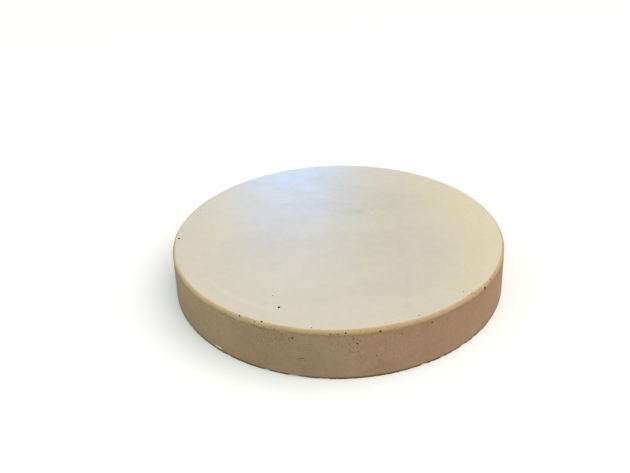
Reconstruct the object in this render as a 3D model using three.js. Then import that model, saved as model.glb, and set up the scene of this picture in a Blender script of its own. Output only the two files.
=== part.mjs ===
// A round plaster slab mold for pottery, cast in two pours with a layer of woven scrim between them.
// Millimetres, +Z up. The origin is the centre of the underside, and the smooth working face is on top.
//
//   face_pour          the first pour, with the working face, the scraped arris and the upper wall
//   reinforcing_scrim  a round of open woven cloth laid on the back of the first pour
//   back_pour          the second pour, which buries the scrim and carries the lower wall and the underside

import * as THREE from 'three';

// Driving dimensions of the whole casting
const WALL_TOP_DIAMETER = 305;
const BASE_DIAMETER = 312;
const THICKNESS = 41.6;

// Scraped bevel round the working face
const BEVEL_WIDTH = 2.05;
const BEVEL_HEIGHT = 1.77;

// The struck-off pour edge at the bottom has no bevel, only a slightly worn corner
const WORN_CORNER = 0.4;

// The joint between the two pours, measured up from the underside
const LAP_HEIGHT = 17;
const JOINT_GAP = 0.3;

// The scrim stops short of the wall, so that no thread reaches the outside
const SCRIM_DIAMETER = 280;
const SCRIM_THICKNESS = 1.6;

// Straight sides round each turned piece
const ROUND_SIDES = 144;

const PLASTER_FACE = { color: 0xd8d0bd, roughness: 0.75, metalness: 0 };
const PLASTER_WALL = { color: 0xa68e72, roughness: 0.9, metalness: 0 };
const JUTE = { color: 0xb4935f, roughness: 0.95, metalness: 0 };

// The outer wall is a cone that widens towards the base, up to where the bevel starts
function wallRadius(z) {
  const bevelStart = THICKNESS - BEVEL_HEIGHT;
  const rise = z / bevelStart;
  return THREE.MathUtils.lerp(BASE_DIAMETER / 2, WALL_TOP_DIAMETER / 2, rise);
}

// Turns a profile of [radius, z] points about the Z axis. It runs from the axis, up the outside, back to the axis.
function turned(name, profile, look) {
  const points = profile.map(([radius, z]) => new THREE.Vector2(radius, z));
  const geometry = new THREE.LatheGeometry(points, ROUND_SIDES);
  geometry.rotateX(Math.PI / 2);
  const mesh = new THREE.Mesh(geometry, new THREE.MeshStandardMaterial(look));
  mesh.name = name;
  return mesh;
}

// First pour: flat working face, bevelled arris, upper wall, and the flat back that the scrim is laid on
function facePour() {
  const back = LAP_HEIGHT + JOINT_GAP / 2;
  const bevelStart = THICKNESS - BEVEL_HEIGHT;
  const profile = [
    [0, back],
    [wallRadius(back), back],
    [wallRadius(bevelStart), bevelStart],
    [wallRadius(bevelStart) - BEVEL_WIDTH, THICKNESS],
    [0, THICKNESS],
  ];
  return turned('face_pour', profile, PLASTER_FACE);
}

// A thin disc of woven cloth, level with the top of the second pour
function reinforcingScrim() {
  const top = LAP_HEIGHT - JOINT_GAP / 2;
  const bottom = top - SCRIM_THICKNESS;
  const radius = SCRIM_DIAMETER / 2;
  const profile = [
    [0, bottom],
    [radius, bottom],
    [radius, top],
    [0, top],
  ];
  return turned('reinforcing_scrim', profile, JUTE);
}

// Second pour: the flat underside, the lower wall, and the print that the scrim leaves in its top
function backPour() {
  const top = LAP_HEIGHT - JOINT_GAP / 2;
  const printFloor = top - SCRIM_THICKNESS - JOINT_GAP;
  const printRadius = SCRIM_DIAMETER / 2 + JOINT_GAP;
  const profile = [
    [0, 0],
    [wallRadius(0) - WORN_CORNER, 0],
    [wallRadius(WORN_CORNER), WORN_CORNER],
    [wallRadius(top), top],
    [printRadius, top],
    [printRadius, printFloor],
    [0, printFloor],
  ];
  return turned('back_pour', profile, PLASTER_WALL);
}

const mold = new THREE.Group();
mold.add(facePour());
mold.add(reinforcingScrim());
mold.add(backPour());

export default mold;
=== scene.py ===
"""A round plaster slab mold for pottery, cast in two pours with a layer of woven scrim between them.

The CAD frame gives the size and place of every piece. This script builds the cast skins, the weave, their
materials, a pale floor, the lights and the camera. Shapes are worked out in millimetres and made in metres.
"""

import math
import random

import bmesh
import bpy
import numpy as np
from mathutils import Matrix, Vector, noise


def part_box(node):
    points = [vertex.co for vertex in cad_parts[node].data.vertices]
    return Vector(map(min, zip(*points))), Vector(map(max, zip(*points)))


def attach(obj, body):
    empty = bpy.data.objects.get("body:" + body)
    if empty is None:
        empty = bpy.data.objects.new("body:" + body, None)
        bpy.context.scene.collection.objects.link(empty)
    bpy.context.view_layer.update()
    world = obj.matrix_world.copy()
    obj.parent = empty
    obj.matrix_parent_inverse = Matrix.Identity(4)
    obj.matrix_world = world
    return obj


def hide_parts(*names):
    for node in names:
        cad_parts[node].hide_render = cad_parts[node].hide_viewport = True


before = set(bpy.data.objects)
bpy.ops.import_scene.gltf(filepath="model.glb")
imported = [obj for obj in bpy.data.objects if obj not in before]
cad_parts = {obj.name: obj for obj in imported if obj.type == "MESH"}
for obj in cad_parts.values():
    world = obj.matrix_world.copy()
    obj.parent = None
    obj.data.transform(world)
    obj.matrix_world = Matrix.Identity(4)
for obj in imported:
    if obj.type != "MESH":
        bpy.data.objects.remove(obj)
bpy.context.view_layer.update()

# A millimetre in metres, a full turn in radians, and the direction out of the working face
MM = 0.001
TURN = 2 * math.pi
UP = Vector((0, 0, 1))

# ---------------------------------------------------------------- sizes from the frame, in millimetres

face_low, face_high = (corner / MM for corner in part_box("face_pour"))
scrim_low, scrim_high = (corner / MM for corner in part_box("reinforcing_scrim"))
back_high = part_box("back_pour")[1] / MM

THICKNESS = face_high.z

# The wall is widest at the top of its worn bottom corner, which is this high
WORN_CORNER = 0.4
WALL_SLOPE = (face_high.x - back_high.x) / (face_low.z - WORN_CORNER)
LAP_HEIGHT = (face_low.z + back_high.z) / 2
JOINT_GAP = face_low.z - back_high.z
SCRIM_RADIUS = scrim_high.x

# The scraped bevel: its mean width and height, and how soft its two corners are (1 is a knife edge, 2 round)
BEVEL_WIDTH = 2.05
BEVEL_HEIGHT = 2.15
BEVEL_SOFTNESS = 1.4
BEVEL_RINGS = 11

# How far the softened bevel stands out from the straight line between its corners
BEVEL_BULGE = 0.12

# Mesh fineness: sides round the rim, and the step between rings on the wall. On a flat face the step grows
# from its edge inwards.
RIM_SIDES = 1200
WALL_STEP = 1.0
FLAT_EDGE_STEP = 1.0
FLAT_STEP = 2.4
FLAT_STEP_GROWTH = 1.25

# The rings of a flat face are counted from this far inside the bevel, or outside the scrim
RING_MARGIN = 0.4

# The rings of a joint face and of the underside are counted from this far inside the wall
EDGE_INSET = 3

# Half of the fine gap between the two pours where they meet at the wall
HALF_LAP_GAP = 0.02

# Corners sharper than this many degrees stay crisp
CRISP_ANGLE = 38

# Places of the three materials in the casting's list
PLASTER = 0
# Inside the bubble holes: near-black painted shade
HOLE_SHADE = 1
BROKEN = 2

# ---------------------------------------------------------------- marks on the casting

# Mouths of the bubble holes
PINPOINT = 0.65
SMALL = 0.9
MEDIUM = 1.3
LARGE = 2.1

# The holes that stand out, in whole degrees and millimetres. Azimuths are from +X, with -90 at the front.
FACE_BUBBLES = [  # azimuth, distance from the centre, diameter
    (-109, 132, LARGE),
    (-114, 121, SMALL),
    (111, 80, SMALL),
    (-40, 128, PINPOINT),
    (-49, 145, SMALL),
    (156, 149, SMALL),
    (165, 145, SMALL),
    (-177, 147, SMALL),
    (-172, 148, LARGE),
    (-97, 149, SMALL),
    (-77, 148, PINPOINT),
    (-67, 148, SMALL),
]
BEVEL_BUBBLES = [  # azimuth, share of the way from the face to the wall, diameter
    (-118, 0.25, MEDIUM),
    (-113, 0.5, MEDIUM),
    (-111, 0, MEDIUM),
    (-108, 0.5, SMALL),
    (-96, 1.25, SMALL),
    (-92, 1, SMALL),
    (-91, 1.25, PINPOINT),
    (-90, 1, SMALL),
    (-88, 0.75, MEDIUM),
    (-86, 0.25, PINPOINT),
    (-84, 0.5, SMALL),
    (-83, 1.25, SMALL),
    (-79, 1, MEDIUM),
    (-75, 1, PINPOINT),
    (-48, 0, SMALL),
    (-47, 0.5, SMALL),
    (-38, 0.5, MEDIUM),
    (-34, 0.25, SMALL),
]
WALL_BUBBLES = [  # azimuth, height above the underside, diameter
    (-42, 39, LARGE),
    (-59, 34, SMALL),
    (-64, 36, MEDIUM),
    (-68, 28, SMALL),
    (-69, 27, PINPOINT),
    (-73, 34, SMALL),
    (-75, 18, PINPOINT),
    (-80, 19, SMALL),
    (-85, 34, PINPOINT),
    (-85, 31, MEDIUM),
    (-86, 35, PINPOINT),
    (-87, 31, SMALL),
    (-89, 30, PINPOINT),
    (-90, 31, PINPOINT),
    (-91, 39, SMALL),
    (-104, 28, PINPOINT),
    (-102, 34, MEDIUM),
    (-103, 33, SMALL),
    (-105, 36, SMALL),
    (-107, 39, SMALL),
    (-110, 39, SMALL),
    (-111, 37, SMALL),
    (-113, 38, SMALL),
]

# Every random curve and random bubble comes from this seed
SEED = 41

# Small random bubbles: the number tried, and the least and greatest diameter
SMALL_FACE_BUBBLES = 26
SMALL_BEVEL_BUBBLES = 44
SMALL_WALL_BUBBLES = 420
SMALL_BUBBLE_SIZES = (0.3, 0.62)

# On the face they reach this far out. On the wall they lie in patches of this size, and in a band that is
# crowded towards its top.
FACE_BUBBLE_REACH = 148
BUBBLE_PATCH = 22
SMALL_WALL_BAND = (39.2, 32, 1.9)  # height of its top, depth, crowding

# Larger random bubbles round the back half, which the photo doesn't show
LARGER_BACK_WALL_BUBBLES = 24
LARGER_BACK_BEVEL_BUBBLES = 9
LARGER_BUBBLE_SIZES = (0.7, 1.7)
LARGER_WALL_BAND = (39.3, 16, 1.6)
BACK_HALF = (-20, 190)

# A bubble's radius as a share of the diameter of its mouth, and the plaster left between two bubbles
BUBBLE_ROUNDNESS = 0.56
BUBBLE_SPACING = 0.35

# Bubbles wider than this are cut with finer spheres
FINE_BUBBLE = 0.85

# The pour edge is broken away by about this much all round, and further in the chips
WORN_EDGE = 0.45
CHIPS = [  # azimuth, width, height, depth of chips in the pour edge
    (-110, 6, 1.5, 1.5),
    (-102, 9, 1.2, 1.3),
    (-94, 10, 0.6, 0.7),
    (-123, 5, 0.8, 0.8),
    (-66, 6, 1.1, 1.1),
    (-60, 5, 1.4, 1.2),
    (-52, 8, 0.9, 0.9),
    (-47, 4, 1.0, 0.9),
    (-141, 5, 0.6, 0.6),
    (20, 9, 1.3, 1.4),
    (74, 6, 0.9, 0.8),
    (118, 10, 1.2, 1.3),
    (163, 5, 1.0, 1.0),
]

# Lean turns a flake in the wall's plane, a tip below 0 leans its top inwards, and sag lowers its ends
GOUGES = [  # azimuth, height, width, tall, depth, lean, tip, sag, freshly broken
    (-100, 17, 8, 0.9, 1.3, 15, -20, 0.9, False),
    (-127, 3, 8, 1.7, 1.7, 0, -38, 0, True),
]


def wall_radius(height):
    """Radius of the flared wall at a height above the underside."""
    return back_high.x + (height - WORN_CORNER) * WALL_SLOPE


# Where the bevel meets the wall
RIM_HEIGHT = THICKNESS - BEVEL_HEIGHT
RIM_RADIUS = wall_radius(RIM_HEIGHT)


def wander(angle, seed, lowest, highest, size):
    """A random curve round the casting, with waves from lowest to highest per turn and that mean size."""
    dice = np.random.default_rng(seed)
    waves = np.arange(lowest, highest + 1)
    phases = dice.uniform(0, TURN, len(waves))
    strengths = dice.normal(0, 1, len(waves)) / np.sqrt(waves)
    curve = np.cos(np.outer(np.ravel(angle), waves) + phases) @ strengths
    scale = size / math.sqrt((strengths**2).sum() / 2)
    return (curve * scale).reshape(np.shape(angle))


def bevel_width(angle):
    """Width of the bevel, which wanders round the casting."""
    return BEVEL_WIDTH + wander(angle, SEED, 5, 32, 0.12) + wander(angle, SEED + 20, 50, 240, 0.06)


def bevel_height(angle):
    """Height of the bevel, which wanders round the casting."""
    return BEVEL_HEIGHT + wander(angle, SEED + 1, 4, 28, 0.14) + wander(angle, SEED + 21, 40, 200, 0.09)


def lap_height(angle):
    """Height of the line where the second pour met the first."""
    return LAP_HEIGHT + wander(angle, SEED + 2, 3, 40, 0.3)


def add_object(name, data):
    """A new object in the scene, with that mesh, light or camera as its data."""
    made = bpy.data.objects.new(name, data)
    bpy.context.scene.collection.objects.link(made)
    return made


# ---------------------------------------------------------------- meshes made of rings


def ring(radius, height, count):
    """Points round the axis. Radius and height are numbers, or functions of the angle."""
    angle = np.arange(count) * (TURN / count)
    r = radius(angle) if callable(radius) else np.full(count, float(radius))
    z = height(angle) if callable(height) else np.full(count, float(height))
    return np.column_stack([r * np.cos(angle), r * np.sin(angle), z])


def flat_rings(outer, inner, height, outer_count):
    """Rings across a flat face from radius outer to radius inner, which may be the axis, coarser inwards."""
    rings = []
    radius = outer
    step = FLAT_EDGE_STEP
    while radius - step >= inner + step:
        radius -= step
        count = min(outer_count, max(6, round(TURN * radius / step)))
        rings.append(ring(radius, height, count))
        step = min(step * FLAT_STEP_GROWTH, FLAT_STEP)
    if inner == 0:
        rings.append(np.array([[0.0, 0.0, height]]))
    return rings


def stitch(first, a, second, b):
    """Triangles between a ring of a points from index first and a ring of b points from index second."""
    if a == b:
        i = np.arange(a)
        j = (i + 1) % a
        upper = np.column_stack([first + i, second + i, second + j])
        lower = np.column_stack([first + i, second + j, first + j])
        return np.vstack([upper, lower]).tolist()
    faces = []
    i = 0
    j = 0
    while i < a or j < b:
        step_first = b == 1 or (j >= b) or (i < a and a > 1 and (i + 1) * b <= (j + 1) * a)
        if step_first:
            faces.append([first + i % a, second + j % b, first + (i + 1) % a])
            i += 1
        else:
            faces.append([first + i % a, second + j % b, second + (j + 1) % b])
            j += 1
        if (a == 1 and j >= b) or (b == 1 and i >= a):
            break
    return faces


def ring_mesh(name, rings):
    """A closed mesh through rings from the axis, over the top, down the wall and back to the axis."""
    faces = []
    start = 0
    for one, two in zip(rings, rings[1:]):
        faces += stitch(start, len(one), start + len(one), len(two))
        start += len(one)
    points = weathered(np.vstack(rings))
    mesh = bpy.data.meshes.new(name)
    mesh.from_pydata((points * MM).tolist(), [], faces)
    mesh.validate()
    return mesh


def weathered(points):
    """The points moved by the unevenness of a cast surface: sideways on the wall, upright on the face."""
    moved = points.copy()
    for index, point in enumerate(points):
        x, y, z = point
        radius = math.hypot(x, y)
        place = Vector(point)
        # Each swing is in millimetres, over features of the size that the place is divided by
        wide = 0.16 * noise.noise(place / 38)
        fine = 0.07 * noise.noise(place / 9) + 0.03 * noise.noise(place / 2.6)
        on_outside = radius > wall_radius(z) - 0.6 and radius > 1
        if on_outside:
            moved[index, 0] += (wide + fine) * x / radius
            moved[index, 1] += (wide + fine) * y / radius
        elif z > THICKNESS - 1:
            moved[index, 2] += 0.2 * wide + 0.06 * fine
    return moved


def between(first, second, share):
    """The curve that share of the way from one curve to another, both of them functions of the angle."""

    def curve(angle):
        return first(angle) * (1 - share) + second(angle) * share

    return curve


def wall_ring(height):
    """A ring on the wall at a height that varies round it."""

    def radius(angle):
        return wall_radius(height(angle))

    return ring(radius, height, RIM_SIDES)


def bevel_ring(across, up):
    """A ring on the bevel. It is at the wall when across is 1, and level with the face when up is 1."""

    def radius(angle):
        return RIM_RADIUS - bevel_width(angle) * (1 - across)

    def height(angle):
        return THICKNESS - bevel_height(angle) * (1 - up)

    return ring(radius, height, RIM_SIDES)


def bevel_foot(angle):
    """Height of the line where the bevel meets the wall."""
    return THICKNESS - bevel_height(angle)


def above_lap(angle):
    """Height of the lower edge of the first pour, just above the lap."""
    return lap_height(angle) + HALF_LAP_GAP


def below_lap(angle):
    """Height of the upper edge of the second pour, just below the lap."""
    return lap_height(angle) - HALF_LAP_GAP


def face_rings():
    """The first pour: the working face, the bevel, the upper wall, and the back that meets the scrim."""
    rings = flat_rings(RIM_RADIUS - BEVEL_WIDTH - RING_MARGIN, 0, THICKNESS, RIM_SIDES)[::-1]
    for turn in np.linspace(0, math.pi / 2, BEVEL_RINGS):
        across = math.sin(turn) ** (2 / BEVEL_SOFTNESS)
        up = math.cos(turn) ** (2 / BEVEL_SOFTNESS)
        rings.append(bevel_ring(across, up))
    steps = round((RIM_HEIGHT - LAP_HEIGHT) / WALL_STEP)
    for share in np.linspace(0, 1, steps + 1)[1:]:
        rings.append(wall_ring(between(bevel_foot, above_lap, share)))
    return rings + joint_rings(face_low.z)


def joint_rings(height):
    """Rings inwards over the hidden joint face, which is level up to a few millimetres from the wall."""
    outer = wall_radius(LAP_HEIGHT) - EDGE_INSET
    return [ring(outer, height, RIM_SIDES // 2)] + flat_rings(outer, 0, height, RIM_SIDES // 2)


def chipped(angle, seed, sizes):
    """How far the broken pour edge is cut back round the casting, where sizes are the chips' own cuts."""
    cut = WORN_EDGE + wander(angle, seed, 8, 60, 0.35 * WORN_EDGE)
    cut = cut + wander(angle, seed + 1, 90, 420, 0.3 * WORN_EDGE)
    for (azimuth, width, _, _), size in zip(CHIPS, sizes):
        offset = (angle - math.radians(azimuth) + math.pi) % TURN - math.pi
        across = offset * back_high.x / (width / 2)
        cut = cut + size * np.clip(1 - across**2, 0, None) ** 0.7
    return np.clip(cut, 0.1, None)


def edge_rise(angle):
    """How far up the wall the pour edge is broken away."""
    return chipped(angle, SEED + 5, [height for _, _, height, _ in CHIPS])


def edge_cut(angle):
    """How far inwards the pour edge is broken away."""
    return chipped(angle, SEED + 7, [depth for _, _, _, depth in CHIPS])


def edge_ring(share):
    """A ring under the pour edge, from the wall (share 0) in to the underside (share 1), a little rough."""

    def radius(angle):
        return wall_radius(edge_rise(angle)) - edge_cut(angle) * share

    def height(angle):
        return edge_rise(angle) * (1 - share) + np.abs(wander(angle, SEED + 9, 4, 60, 0.05))

    return ring(radius, height, RIM_SIDES)


def back_rings():
    """The second pour: the print of the scrim, the lower wall, the broken pour edge and the underside."""
    print_floor = scrim_low.z - JOINT_GAP
    print_radius = SCRIM_RADIUS + JOINT_GAP
    rings = flat_rings(SCRIM_RADIUS + RING_MARGIN, 0, print_floor, RIM_SIDES // 4)[::-1]
    rings.append(ring(print_radius, print_floor, RIM_SIDES // 4))
    rings.append(ring(print_radius, back_high.z, RIM_SIDES // 4))
    for radius in np.linspace(SCRIM_RADIUS + EDGE_INSET, back_high.x - 1.5 * EDGE_INSET, 4):
        rings.append(ring(radius, back_high.z, RIM_SIDES // 2))
    steps = round(LAP_HEIGHT / WALL_STEP)
    for share in np.linspace(0, 1, steps + 1):
        rings.append(wall_ring(between(below_lap, edge_rise, share)))
    for share in (0.3, 0.65, 1):
        rings.append(edge_ring(share))
    return rings + flat_rings(back_high.x - EDGE_INSET, 0, 0, RIM_SIDES)


# ---------------------------------------------------------------- holes and chips


def on_casting(azimuth, radius, height):
    """The point at that azimuth, radius and height."""
    angle = math.radians(azimuth)
    return Vector((radius * math.cos(angle), radius * math.sin(angle), height))


def on_bevel(azimuth, share):
    """A point on the bevel, from the face (share 0) to the wall (share 1), and the direction out of it."""
    angle = math.radians(azimuth)
    point = on_casting(azimuth, RIM_RADIUS - BEVEL_WIDTH * (1 - share), THICKNESS - BEVEL_HEIGHT * share)
    out = Vector((math.cos(angle), math.sin(angle), 1)).normalized()
    return point + BEVEL_BULGE * out, out


def on_wall(azimuth, height):
    """A point on the wall, and the direction out of it."""
    point = on_casting(azimuth, wall_radius(height), height)
    return point, Vector((point.x, point.y, 0)).normalized()


def named_bubbles():
    """Mouth centre, outward direction and diameter of each bubble hole that has a place of its own."""
    holes = []
    for azimuth, radius, diameter in FACE_BUBBLES:
        holes.append((on_casting(azimuth, radius, THICKNESS), UP, diameter))
    for azimuth, share, diameter in BEVEL_BUBBLES:
        point, out = on_bevel(azimuth, share)
        holes.append((point, out, diameter))
    for azimuth, height, diameter in WALL_BUBBLES:
        point, out = on_wall(azimuth, height)
        holes.append((point, out, diameter))
    return holes


def random_bubbles(taken):
    """Small bubbles all round and larger ones at the back, clear of each other and of those taken."""
    dice = random.Random(SEED)
    holes = []

    def height_in(band):
        top, depth, crowding = band
        return top - depth * dice.random() ** crowding

    def add(point, out, sizes=SMALL_BUBBLE_SIZES):
        diameter = sizes[0] + (sizes[1] - sizes[0]) * dice.random() ** 2
        reach = diameter / 2 + BUBBLE_SPACING
        if all((point - centre).length > reach + width / 2 for centre, _, width in taken + holes):
            holes.append((point, out, diameter))

    for _ in range(SMALL_FACE_BUBBLES):
        radius = FACE_BUBBLE_REACH * math.sqrt(dice.random())
        add(on_casting(dice.uniform(0, 360), radius, THICKNESS), UP)
    for _ in range(SMALL_BEVEL_BUBBLES):
        add(*on_bevel(dice.uniform(0, 360), dice.uniform(0.1, 1.1)))
    for _ in range(SMALL_WALL_BUBBLES):
        height = height_in(SMALL_WALL_BAND)
        point, out = on_wall(dice.uniform(0, 360), height)
        if noise.noise(point / BUBBLE_PATCH) > dice.uniform(-0.5, 0.4):
            add(point, out)
    for _ in range(LARGER_BACK_WALL_BUBBLES):
        height = height_in(LARGER_WALL_BAND)
        add(*on_wall(dice.uniform(*BACK_HALF), height), LARGER_BUBBLE_SIZES)
    for _ in range(LARGER_BACK_BEVEL_BUBBLES):
        add(*on_bevel(dice.uniform(*BACK_HALF), dice.uniform(0.2, 0.9)), LARGER_BUBBLE_SIZES)
    return holes


def bubble_cutter(holes):
    """One mesh of spheres, each sunk below the surface so that its mouth has the hole's diameter."""
    shape = bmesh.new()
    for point, out, diameter in holes:
        radius = BUBBLE_ROUNDNESS * diameter
        sunk = math.sqrt(radius**2 - (diameter / 2) ** 2)
        centre = Matrix.Translation((point - out * sunk) * MM)
        fineness = 3 if diameter > FINE_BUBBLE else 2
        bmesh.ops.create_icosphere(shape, subdivisions=fineness, radius=radius * MM, matrix=centre)
    # The insides of the holes get the near-black painted shade
    for face in shape.faces:
        face.material_index = HOLE_SHADE
    return shape_object("bubble_cutter", shape)


def gouge_cutter():
    """Flakes broken out of the wall: flattened, roughened balls set into the surface."""
    shape = bmesh.new()
    for number, (azimuth, height, width, tall, depth, lean, tip, sag, fresh) in enumerate(GOUGES):
        point = on_casting(azimuth, wall_radius(height), height)
        place = (
            Matrix.Translation(point * MM)
            @ Matrix.Rotation(math.radians(azimuth), 4, "Z")
            @ Matrix.Rotation(math.radians(lean), 4, "X")
            @ Matrix.Rotation(math.radians(tip), 4, "Y")
        )
        made = bmesh.ops.create_icosphere(shape, subdivisions=4, radius=1)
        for vert in made["verts"]:
            rough = 1 + 0.14 * noise.noise(vert.co * 2.2 + Vector((number * 7, 0, 0)))
            spot = Vector((vert.co.x * depth, vert.co.y * width, vert.co.z * tall)) * 0.5 * rough
            spot.z -= sag * vert.co.y**2
            vert.co = place @ (spot * MM)
            for face in vert.link_faces:
                face.material_index = BROKEN if fresh else PLASTER
    return shape_object("gouge_cutter", shape)


def shape_object(name, shape):
    """An object made of a finished shape."""
    mesh = bpy.data.meshes.new(name)
    shape.to_mesh(mesh)
    shape.free()
    return add_object(name, mesh)


def carve(piece, cutters):
    """Cuts the cutters out of the piece for good."""
    for cutter in cutters:
        cut = piece.modifiers.new(cutter.name, "BOOLEAN")
        cut.operation = "DIFFERENCE"
        cut.solver = "MANIFOLD"
        cut.object = cutter
    bpy.context.view_layer.update()
    seen = piece.evaluated_get(bpy.context.evaluated_depsgraph_get())
    carved = bpy.data.meshes.new_from_object(seen)
    piece.modifiers.clear()
    piece.data = carved


def store_rim(mesh):
    """Stores each point's share of the way over the bevel: below 0 on the face, above 1 on the wall."""
    places = np.empty(len(mesh.vertices) * 3, np.float32)
    mesh.vertices.foreach_get("co", places)
    places = places.reshape(-1, 3) / MM
    angle = np.arctan2(places[:, 1], places[:, 0])
    radius = np.hypot(places[:, 0], places[:, 1])
    width = bevel_width(angle)
    across = (radius - RIM_RADIUS) / width + 1
    down = (THICKNESS - places[:, 2]) / bevel_height(angle)
    share = np.where(down > 0.5, np.maximum(across, down), across)
    rim = mesh.attributes.new("rim", "FLOAT", "POINT")
    rim.data.foreach_set("value", np.clip(share, -3, 8).astype(np.float32))


def cast_piece(name, rings, cutters, materials):
    """A cast plaster piece with its bubbles and chips cut, and crisp corners left crisp."""
    mesh = ring_mesh(name, rings)
    for index in sorted(materials):
        mesh.materials.append(materials[index])
    piece = add_object(name, mesh)
    carve(piece, cutters)
    store_rim(piece.data)
    piece.data.shade_smooth()
    piece.data.set_sharp_from_angle(angle=math.radians(CRISP_ANGLE))
    return piece


# ---------------------------------------------------------------- node helpers


class Graph:
    """Short calls for adding linked nodes to one material."""

    def __init__(self, name):
        self.material = bpy.data.materials.new(name)
        self.material.use_nodes = True
        self.tree = self.material.node_tree
        self.shader = self.tree.nodes["Principled BSDF"]
        self.place = self.millimetres()

    def add(self, kind, inputs=(), **settings):
        """A new node of that kind, with its settings made and its inputs filled."""
        node = self.tree.nodes.new(kind)
        for key, value in settings.items():
            setattr(node, key, value)
        for slot, value in dict(inputs).items():
            self.put(node.inputs[slot], value)
        return node

    def put(self, socket, value):
        """Links a socket to another one, or gives it a plain value."""
        if isinstance(value, bpy.types.NodeSocket):
            self.tree.links.new(value, socket)
        else:
            socket.default_value = value

    def millimetres(self):
        """The point in the row frame, in millimetres."""
        place = self.add("ShaderNodeTexCoord").outputs["Object"]
        return self.scaled(place, (1000, 1000, 1000))

    def vector_math(self, operation, first, second):
        """The vector that an operation makes of two vectors."""
        return self.add("ShaderNodeVectorMath", {0: first, 1: second}, operation=operation).outputs["Vector"]

    def scaled(self, vector, factors):
        """A vector with each of its parts multiplied."""
        return self.vector_math("MULTIPLY", vector, factors)

    def length(self, vector):
        """The length of a vector."""
        return self.add("ShaderNodeVectorMath", {0: vector}, operation="LENGTH").outputs["Value"]

    def flat(self):
        """The point seen from above, at height 0."""
        return self.scaled(self.place, (1, 1, 0))

    def noise(self, size, detail=3.0, roughness=0.5, vector=None, shift=0.0):
        """Noise from 0 to 1 with features about size millimetres across. Another shift gives other noise."""
        vector = self.place if vector is None else vector
        moved = self.vector_math("ADD", vector, (shift, shift, shift))
        settings = {"Vector": moved, "Scale": 1 / size, "Detail": detail, "Roughness": roughness}
        return self.add("ShaderNodeTexNoise", settings).outputs["Fac"]

    def span(self, value, low, high, to_low=0.0, to_high=1.0):
        """Value mapped from low..high to to_low..to_high, held at its ends."""
        node = self.add(
            "ShaderNodeMapRange",
            {"Value": value, "From Min": low, "From Max": high, "To Min": to_low, "To Max": to_high},
            interpolation_type="SMOOTHSTEP",
        )
        return node.outputs["Result"]

    def math(self, operation, first, second=0.0):
        """The number that an operation makes of one or two numbers."""
        return self.add("ShaderNodeMath", {0: first, 1: second}, operation=operation).outputs[0]

    def mix(self, share, first, second):
        """Colour that goes from first to second with share."""
        node = self.add("ShaderNodeMix", data_type="RGBA")
        self.put(node.inputs["Factor"], share)
        # The colour sockets share their names with those for numbers, so they go by place
        self.put(node.inputs[6], first)
        self.put(node.inputs[7], second)
        return node.outputs[2]

    def along(self, axis):
        """The point's place along X, Y or Z, in millimetres."""
        return self.add("ShaderNodeSeparateXYZ", {0: self.place}).outputs[axis]

    def height(self):
        """Height above the underside, in millimetres."""
        return self.along("Z")

    def attribute(self, name):
        """A number that is stored on the mesh under that name."""
        return self.add("ShaderNodeAttribute", attribute_name=name).outputs["Fac"]

    def bump(self, height, depth):
        """Bump whose full height is depth millimetres."""
        inputs = {"Height": height, "Distance": depth * MM, "Strength": 1.0}
        return self.add("ShaderNodeBump", inputs).outputs["Normal"]

    def finish(self, colour, roughness, normal=None):
        """The material, with its shader given a colour, a roughness and perhaps a bumped normal."""
        self.put(self.shader.inputs["Base Color"], colour)
        self.put(self.shader.inputs["Roughness"], roughness)
        if normal is not None:
            self.put(self.shader.inputs["Normal"], normal)
        return self.material


def tone(red, green, blue):
    """A linear colour from display values of 0 to 255."""

    def linear(value):
        value /= 255
        return value / 12.92 if value <= 0.04045 else ((value + 0.055) / 1.055) ** 2.4

    return (linear(red), linear(green), linear(blue), 1)


# ---------------------------------------------------------------- materials

# The face's pale arc, the painted highlight of a faint ridge: its radius, and the place where it is plainest
ARC_HIGHLIGHT_RADIUS = 136
ARC_HIGHLIGHT_MIDDLE = (-76, -113, 0)

# Marks on the face. A strength above 0 is greyer, and one below 0 is paler. The large greyer ones are partly
# grey smudges and partly painted shade over the middle and back of the face.
SMUDGES_AND_SHADE = [  # x, y, length, width, turn in degrees, strength
    (10, -5, 270, 220, 0, 0.4),
    (60, 50, 150, 100, -30, 0.4),
    (50, -50, 190, 130, 5, 0.5),
    (30, -105, 150, 45, 10, 0.5),
    (15, 20, 60, 45, 0, 0.4),
    (15, 80, 80, 45, 0, 0.3),
    (-70, 40, 50, 40, 0, 0.3),
    (-55, -70, 45, 25, 30, 0.3),
    (-70, -35, 130, 90, 60, 0.4),
    (0, 50, 150, 80, 0, 0.5),
    (-40, 110, 190, 90, 0, 0.8),
    (-30, -10, 50, 30, 0, -0.2),
]
SCUFFS_AND_DENT_SHADING = [  # the same columns, for the few small marks that catch the eye: the greyer ones are partly painted shade of small dents, and the paler ones are their painted highlights
    (25, 27, 20, 9, -5, 0.8),
    (37, 21, 5, 4, 0, -1.0),
    (48, 16, 11, 6, -25, 0.6),
    (57, 9, 11, 3, -30, -0.6),
    (64, 5, 11, 5, -25, 0.6),
    (8, 45, 16, 8, -10, 0.5),
    (-50, 46, 16, 6, 5, 0.7),
    (-47, 37, 9, 6, 40, -0.4),
    (-22, 38, 14, 5, 10, -0.4),
    (2, -18, 8, 5, 0, 0.4),
    (50, -125, 12, 6, 30, 0.4),
    (38, -138, 9, 4, 15, 0.4),
]

# Half depths of the soft ovals: a mark on the face has any depth, and a spot on the wall stays at its side
ANY_DEPTH = 1000
WALL_SPOT_DEPTH = 40
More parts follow.
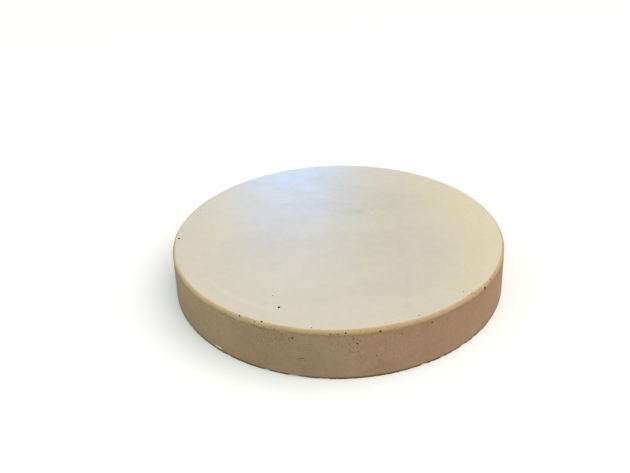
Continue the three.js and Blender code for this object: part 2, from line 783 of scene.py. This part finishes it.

# Marks on the wall: darker spots, the first of them a band just under the bevel, and where the dark dots and
# pale flecks are thickest
WALL_DARK_SPOTS = [  # azimuth, height, width, tall, strength
    (-114, 39, 25, 4, 0.9),
    (-105, 33, 32, 13, 0.4),
    (-98, 12, 34, 22, 0.25),
    (-72, 34, 26, 14, 0.3),
    (-76, 9, 50, 13, 0.2),
    (-131, 13, 3, 3, 0.5),
    (-114, 20, 4, 5, 0.5),
    (-72, 35, 3, 2, 0.7),
    (-73, 38, 8, 2, 0.5),
    (62, 30, 60, 20, 0.4),
    (140, 12, 80, 18, 0.35),
]
WALL_PITTING = [  # the same columns
    (-85, 25, 26, 34, 1.0),
    (-109, 29, 42, 26, 0.7),
    (-70, 15, 40, 24, 0.5),
    (-131, 16, 24, 20, 0.3),
    (35, 24, 60, 36, 0.7),
    (120, 28, 90, 30, 0.6),
    (-170, 20, 70, 34, 0.6),
]


def ragged_place(g, size, reach):
    """The point moved about by noise of that size, by up to about half of reach each way."""
    settings = {"Vector": g.place, "Scale": 1 / size, "Detail": 4.0}
    colour = g.add("ShaderNodeTexNoise", settings).outputs["Color"]
    shift = g.vector_math("SUBTRACT", colour, (0.5, 0.5, 0.5))
    return g.vector_math("ADD", g.place, g.scaled(shift, reach))


def oval(g, place, centre, turn, halves, strength):
    """A soft oval spot of that strength at centre, turned about Z, with half sizes along its own axes."""
    settings = {"Vector": place, "Location": centre, "Rotation": (0, 0, math.radians(turn)), "Scale": halves}
    inside = g.add("ShaderNodeMapping", settings, vector_type="TEXTURE").outputs["Vector"]
    return g.span(g.length(inside), 0.1, 1.1, strength, 0)


def smudges_and_shading(g):
    """Sum of all the face's smudges and scuffs at a point, with painted shade and highlights among them."""
    broad_place = ragged_place(g, 9, (16, 16, 0))
    fine_place = ragged_place(g, 3, (6, 4, 0))
    total = 0.0
    for marks, place in ((SMUDGES_AND_SHADE, broad_place), (SCUFFS_AND_DENT_SHADING, fine_place)):
        for x, y, length, width, turn, strength in marks:
            halves = (length / 2, width / 2, ANY_DEPTH)
            total = g.math("ADD", total, oval(g, place, (x, y, THICKNESS), turn, halves, strength))
    return total


def wall_spots(g, spots):
    """Sum of a list of spots on the wall at a point."""
    place = ragged_place(g, 4, (5, 5, 5))
    total = 0.0
    for azimuth, height, width, tall, strength in spots:
        centre = on_casting(azimuth, wall_radius(height), height)
        halves = (WALL_SPOT_DEPTH, width / 2, tall / 2)
        total = g.math("ADD", total, oval(g, place, centre, azimuth, halves, strength))
    return total


def arc_highlight(g):
    """A faint pale arc round the front left of the face: the painted highlight of a faint ridge."""
    off_line = g.math("ABSOLUTE", g.math("SUBTRACT", g.length(g.flat()), ARC_HIGHLIGHT_RADIUS))
    off_middle = g.length(g.vector_math("SUBTRACT", g.flat(), ARC_HIGHLIGHT_MIDDLE))
    return g.math("MULTIPLY", g.span(off_line, 0.3, 3.5, 1, 0), g.span(off_middle, 15, 65, 0.14, 0))


def face_colour(g):
    """Smooth cast face: cream and clouded, with greyer smudges that are partly painted shade, small painted
    highlights, and painted warm light that makes it yellower at the right.
    """
    cloud = g.span(g.noise(42, 4, 0.55), 0.34, 0.66)
    colour = g.mix(cloud, tone(197, 188, 171), tone(201, 192, 174))
    # Painted warm light: the face turns yellower towards the right.
    painted_warm_light = g.span(g.along("X"), 70, 155, 0, 0.9)
    colour = g.mix(painted_warm_light, colour, tone(209, 199, 170))
    smudge_and_shade = smudges_and_shading(g)
    # Greyer marks are partly painted shade, and paler marks are partly painted highlights.
    colour = g.mix(g.math("MULTIPLY", smudge_and_shade, 0.55), colour, tone(171, 165, 152))
    colour = g.mix(g.math("MULTIPLY", smudge_and_shade, -0.6), colour, tone(222, 216, 198))
    mottle = g.span(g.noise(7, 5, 0.62, shift=31), 0.35, 0.7, 0, 0.34)
    colour = g.mix(mottle, colour, tone(189, 182, 166))
    warm = g.span(g.noise(11, 4, 0.6, shift=57), 0.4, 0.66, 0, 0.3)
    colour = g.mix(warm, colour, tone(207, 194, 172))
    freckle = g.span(g.noise(1.7, 3, 0.6, shift=83), 0.5, 0.78, 0, 0.3)
    colour = g.mix(freckle, colour, tone(184, 176, 156))
    # Painted highlight: the faint pale arc.
    return g.mix(arc_highlight(g), colour, tone(226, 218, 196))


def wall_colour(g, rim):
    """Tan wall, blotched, rubbed and specked, darker just under the bevel, and with a painted shadow along
    the foot. Its tan, darker and browner than the face, is painted shade.
    """
    cloud = g.span(g.noise(36, 4, 0.55, shift=12), 0.3, 0.7)
    # Painted shade: the wall is the same plaster as the face, made darker and browner.
    colour = g.mix(cloud, tone(136, 109, 85), tone(144, 117, 92))
    colour = g.mix(wall_spots(g, WALL_DARK_SPOTS), colour, tone(116, 91, 69))
    blotch = g.noise(6, 4, 0.6, shift=140)
    colour = g.mix(g.span(blotch, 0.42, 0.72, 0, 0.4), colour, tone(134, 105, 84))
    colour = g.mix(g.span(blotch, 0.28, 0.5, 0.3, 0), colour, tone(150, 129, 99))
    rubs = g.noise(1.8, 3, 0.6, vector=g.scaled(g.place, (1, 1, 0.1)), shift=5)
    colour = g.mix(g.span(rubs, 0.5, 0.75, 0, 0.22), colour, tone(124, 100, 77))
    pitting = g.math("ADD", g.span(g.height(), 14, 36, 0.15, 0.5), wall_spots(g, WALL_PITTING))
    dots = g.span(g.noise(1.4, 3, 0.65, shift=66), 0.53, 0.7, 0, 0.75)
    colour = g.mix(g.math("MULTIPLY", dots, pitting), colour, tone(100, 78, 57))
    sand = g.noise(0.9, 2, 0.6, shift=37)
    colour = g.mix(g.span(sand, 0.5, 0.75, 0, 0.4), colour, tone(118, 93, 71))
    colour = g.mix(g.span(sand, 0.25, 0.5, 0.4, 0), colour, tone(158, 133, 105))
    flecks = g.span(g.noise(1.3, 2, 0.5, shift=50), 0.58, 0.74, 0, 0.5)
    colour = g.mix(g.math("MULTIPLY", flecks, pitting), colour, tone(174, 149, 122))
    # The wall is darker in patches just under the bevel.
    patchy = g.span(g.noise(17, 3, 0.6, shift=71), 0.42, 0.6, 0.15, 1)
    darker_under_bevel = g.math("MULTIPLY", g.span(rim, 1.3, 2.7, 0.5, 0), patchy)
    colour = g.mix(darker_under_bevel, colour, tone(120, 93, 70))
    # Painted shadow: the bottom 2.4 mm of the wall is darkened nearly to black-brown, standing in for the
    # contact shadow.
    painted_foot_shadow = g.span(g.height(), 0.9, 2.4, 0.95, 0)
    return g.mix(painted_foot_shadow, colour, tone(74, 54, 33))


def underside_colour(g):
    """Struck-off underside: bare paler plaster, softly clouded, with faint scrape marks."""
    clouds = g.span(g.noise(45, 4, 0.6, shift=28), 0.35, 0.65)
    colour = g.mix(clouds, tone(177, 161, 137), tone(184, 169, 145))
    scrapes = g.noise(3, 4, 0.6, vector=g.scaled(g.place, (0.06, 1, 1)), shift=15)
    return g.mix(g.span(scrapes, 0.45, 0.7, 0, 0.3), colour, tone(166, 148, 123))


def under(g):
    """1 on the underside, 0 on the wall and the pour edge."""
    raggedness = g.span(g.noise(3, 3, 0.6, shift=9), 0.2, 0.8, -1.5, 1.5)
    radius = g.math("ADD", g.length(g.flat()), raggedness)
    inside = g.span(radius, back_high.x - 5, back_high.x - 2.5, 1, 0)
    return g.math("MULTIPLY", inside, g.span(g.height(), 0.25, 0.5, 1, 0))


def bevel_colour(g, rim):
    """Scraped edge: yellow from painted warm light caught by the rounded edge, with painted highlights near
    the face and at the left, and browner towards the wall as painted shade.
    """
    # Painted warm light: the bevel's two yellows, mottled at random.
    bevel_mottle = g.span(g.noise(5, 4, 0.6, shift=90), 0.35, 0.7)
    upper = g.mix(bevel_mottle, tone(184, 158, 118), tone(172, 146, 103))
    rubbed = g.span(g.noise(9, 4, 0.6, shift=44), 0.42, 0.6, 0.0, 0.55)
    upper = g.mix(rubbed, upper, tone(174, 143, 106))
    # Painted highlight: the bevel is paler towards the left.
    painted_highlight_left = g.span(g.along("X"), -140, -50, 0.45, 0)
    upper = g.mix(painted_highlight_left, upper, tone(196, 170, 131))
    # Painted shade: the bevel is browner towards the wall.
    lower = g.mix(rubbed, tone(160, 131, 98), tone(154, 124, 94))
    return g.mix(g.span(rim, 0.28, 1.1), upper, lower)


def plaster_grain(g, rim):
    """Height of the fine grain and lumps, nearly smooth on the face and rough on the wall."""
    grain = g.noise(0.7, 4, 0.6, shift=8)
    lumps = g.noise(3.5, 4, 0.55, shift=19)
    coarse = g.span(rim, 0, 1, 0.09, 1.0)
    return g.math("MULTIPLY", g.math("ADD", grain, g.math("MULTIPLY", lumps, 2.0)), coarse)


def plaster_roughness(g, rim):
    """Roughness: the face is slightly polished by wear and by wiping along X, and the wall is dull."""
    wiped = g.noise(7, 4, 0.6, vector=g.scaled(g.place, (0.16, 1, 1)), shift=61)
    worn = g.span(g.noise(30, 4, 0.6, shift=23), 0.3, 0.7, 0.40, 0.45)
    face = g.math("ADD", worn, g.span(wiped, 0.35, 0.65, 0, 0.03))
    return g.math("ADD", face, g.span(rim, -0.1, 0.9, 0.0, 0.4))


def plaster():
    """The casting's one material. The stored rim value says where the face ends and the wall begins."""
    g = Graph("cast_plaster")
    rough_line = g.span(g.noise(2.2, 3, 0.6, shift=3), 0.2, 0.8, -0.14, 0.14)
    rim = g.math("ADD", g.attribute("rim"), rough_line)
    scraped = g.span(rim, -0.3, 0.2)
    walled = g.span(rim, 1.0, 1.6)
    colour = g.mix(scraped, face_colour(g), bevel_colour(g, rim))
    colour = g.mix(walled, colour, wall_colour(g, rim))
    colour = g.mix(under(g), colour, underside_colour(g))
    g.shader.inputs["Specular IOR Level"].default_value = 0.3
    return g.finish(colour, plaster_roughness(g, rim), g.bump(plaster_grain(g, rim), 0.07))


def bubble_hole_shade():
    """Inside of a bubble hole: near-black painted shade of the deep hole, a little mottled."""
    g = Graph("bubble_hole_shade")
    hole_mottle = g.span(g.noise(0.8, 2), 0.3, 0.7)
    # Painted shade: near black, mottled.
    colour = g.mix(hole_mottle, tone(26, 17, 9), tone(48, 33, 18))
    return g.finish(colour, 0.95)


def broken_plaster():
    """Freshly broken plaster in a chip: paler and crumbly."""
    g = Graph("broken_plaster")
    crumbs = g.noise(0.9, 4, 0.65)
    colour = g.mix(g.span(crumbs, 0.3, 0.7), tone(206, 178, 143), tone(232, 208, 174))
    return g.finish(colour, 0.95, g.bump(crumbs, 0.25))


def jute():
    """Woven scrim thread, filled with plaster."""
    g = Graph("jute_thread")
    fibres = g.noise(0.5, 4, 0.7)
    colour = g.mix(g.span(fibres, 0.3, 0.7), tone(150, 118, 74), tone(196, 168, 120))
    return g.finish(colour, 0.95, g.bump(fibres, 0.12))


# ---------------------------------------------------------------- the hidden scrim

THREAD_PITCH = 5.0
THREAD_WIDTH = 1.7
THREAD_THICKNESS = 0.72
THREAD_SIDES = 6

# How far inside the round a thread ends, and how far in the outermost threads lie at the least
THREAD_END_INSET = 1
OUTER_THREAD_INSET = 4


def thread_row(shape, side, along, height, across):
    """The corners of a thread's section at one place along it."""
    row = []
    for corner in range(THREAD_SIDES):
        turn = TURN * corner / THREAD_SIDES
        sideways = side + THREAD_WIDTH / 2 * math.cos(turn)
        up = height + THREAD_THICKNESS / 2 * math.sin(turn)
        place = (sideways, along, up) if across else (along, sideways, up)
        row.append(shape.verts.new(Vector(place) * MM))
    return row


def thread(shape, offset, across):
    """One flat thread at an offset from the centre, over and under the threads that cross it."""
    half = math.sqrt((SCRIM_RADIUS - THREAD_END_INSET) ** 2 - offset**2)
    middle = (scrim_low.z + scrim_high.z) / 2
    rise = (scrim_high.z - scrim_low.z - THREAD_THICKNESS) / 2
    number = round(offset / THREAD_PITCH - 0.5)
    steps = max(4, round(2 * half / (THREAD_PITCH / 2)))
    rows = []
    for step in range(steps + 1):
        along = -half + 2 * half * step / steps
        phase = math.pi * (along / THREAD_PITCH - 0.5 + number + across)
        height = middle + rise * math.cos(phase)
        rows.append(thread_row(shape, offset, along, height, across))
    for one, two in zip(rows, rows[1:]):
        for corner in range(THREAD_SIDES):
            after = (corner + 1) % THREAD_SIDES
            shape.faces.new((one[corner], one[after], two[after], two[corner]))
    shape.faces.new(rows[0])
    shape.faces.new(rows[-1])


def scrim(material):
    """Open woven cloth cut to a round."""
    shape = bmesh.new()
    count = int((SCRIM_RADIUS - OUTER_THREAD_INSET) / THREAD_PITCH)
    for across in (0, 1):
        for number in range(-count, count):
            thread(shape, (number + 0.5) * THREAD_PITCH, across)
    bmesh.ops.recalc_face_normals(shape, faces=shape.faces)
    piece = shape_object("scrim_weave", shape)
    piece.data.materials.append(material)
    piece.data.shade_smooth()
    return piece


# ---------------------------------------------------------------- camera, floor and lights

# Angles in degrees, the distance in metres, and the lens and the sensor in millimetres
CAMERA_ELEVATION = 31.0
CAMERA_DISTANCE = 0.4677
CAMERA_PAN = 2.50
CAMERA_TILT = 0.84
CAMERA_ROLL = -1.22
CAMERA_LENS = 27.2
SENSOR_WIDTH = 36

# Half of the floor's width, in metres
FLOOR_REACH = 20


def add_camera():
    """Aims at the middle of the casting from the front and above, then turns slightly off it."""
    data = bpy.data.cameras.new("camera")
    data.lens = CAMERA_LENS
    data.sensor_width = SENSOR_WIDTH
    data.clip_start = 0.01
    data.clip_end = 60
    camera = add_object("camera", data)
    up = math.radians(CAMERA_ELEVATION)
    back = Vector((0, -math.cos(up), math.sin(up)))
    camera.matrix_world = (
        Matrix.Translation(Vector((0, 0, THICKNESS / 2 * MM)) + back * CAMERA_DISTANCE)
        @ Matrix.Rotation(math.pi / 2 - up, 4, "X")
        @ Matrix.Rotation(math.radians(CAMERA_PAN), 4, "Y")
        @ Matrix.Rotation(math.radians(CAMERA_TILT), 4, "X")
        @ Matrix.Rotation(math.radians(CAMERA_ROLL), 4, "Z")
    )
    bpy.context.scene.camera = camera


def add_floor():
    """A plain pale floor out to the horizon."""
    mesh = bpy.data.meshes.new("floor")
    reach = FLOOR_REACH
    corners = [(-reach, -reach, 0), (reach, -reach, 0), (reach, reach, 0), (-reach, reach, 0)]
    mesh.from_pydata(corners, [], [(0, 1, 2, 3)])
    g = Graph("pale_floor")
    g.shader.inputs["Specular IOR Level"].default_value = 0
    mesh.materials.append(g.finish((0.9, 0.9, 0.93, 1), 0.9))
    floor = add_object("floor", mesh)


def add_light(name, place, target, size, power, colour, gloss):
    """A soft rectangular light of that width and height in metres. It makes only gloss, or no gloss."""
    data = bpy.data.lights.new(name, "AREA")
    data.shape = "RECTANGLE"
    data.size, data.size_y = size
    data.energy = power
    data.color = colour
    light = add_object(name, data)
    light.location = place
    light.rotation_euler = (Vector(target) - Vector(place)).to_track_quat("-Z", "Y").to_euler()
    light.visible_camera = False
    light.visible_diffuse = not gloss
    light.visible_glossy = gloss


def add_sun(name, azimuth, elevation, spread, strength, colour):
    """A far soft light from that azimuth and elevation in degrees, even over the floor and the casting."""
    data = bpy.data.lights.new(name, "SUN")
    data.energy = strength
    data.angle = math.radians(spread)
    data.color = colour
    light = add_object(name, data)
    turn = math.radians(azimuth)
    up = math.radians(elevation)
    towards = Vector((math.cos(turn) * math.cos(up), math.sin(turn) * math.cos(up), math.sin(up)))
    light.rotation_euler = (-towards).to_track_quat("-Z", "Y").to_euler()


def add_lights():
    """A pale surround, a warm sky, a window that gives the glare, and a cool and a warm side light.

    Places and sizes are in metres, and angles in degrees.
    """
    world = bpy.data.worlds.new("pale_surround")
    world.use_nodes = True
    surround = world.node_tree.nodes["Background"]
    surround.inputs["Color"].default_value = (1.0, 0.98, 0.94, 1)
    surround.inputs["Strength"].default_value = 0.66
    bpy.context.scene.world = world
    add_sun("warm_sky", azimuth=-8, elevation=60, spread=70, strength=1.75, colour=(1.0, 0.965, 0.90))
    add_light(
        "window",
        place=(-0.25, 2.1, 0.74),
        target=(0, 0, 0.04),
        size=(0.54, 0.48),
        power=16.5,
        colour=(0.05, 0.36, 1.0),
        gloss=True,
    )
    add_light(
        "cool_side",
        place=(-1.42, -1.05, 0.35),
        target=(0, 0, 0),
        size=(0.9, 0.5),
        power=10.8,
        colour=(0.46, 1.0, 0.84),
        gloss=False,
    )
    add_light(
        "warm_side",
        place=(1.6, -0.45, 0.4),
        target=(0, 0, 0),
        size=(0.9, 0.5),
        power=7.0,
        colour=(1.0, 1.0, 0.82),
        gloss=False,
    )


# ---------------------------------------------------------------- assembly


def build():
    """Makes the scene, hangs each piece on the root body, and hides the CAD part that it stands for."""
    add_camera()
    named = named_bubbles()
    cutters = [bubble_cutter(named + random_bubbles(named)), gouge_cutter()]
    materials = {PLASTER: plaster(), HOLE_SHADE: bubble_hole_shade(), BROKEN: broken_plaster()}
    face = cast_piece("face_pour_cast", face_rings(), cutters, materials)
    back = cast_piece("back_pour_cast", back_rings(), cutters, materials)
    for cutter in cutters:
        bpy.data.objects.remove(cutter)
    weave = scrim(jute())
    for piece, node, slot in (
        (face, "face_pour", "plaster_face"),
        (back, "back_pour", "plaster_back"),
        (weave, "reinforcing_scrim", "scrim"),
    ):
        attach(piece, "root")
        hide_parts(node)
    add_floor()
    add_lights()
    bpy.context.scene.view_settings.view_transform = "Standard"


build()
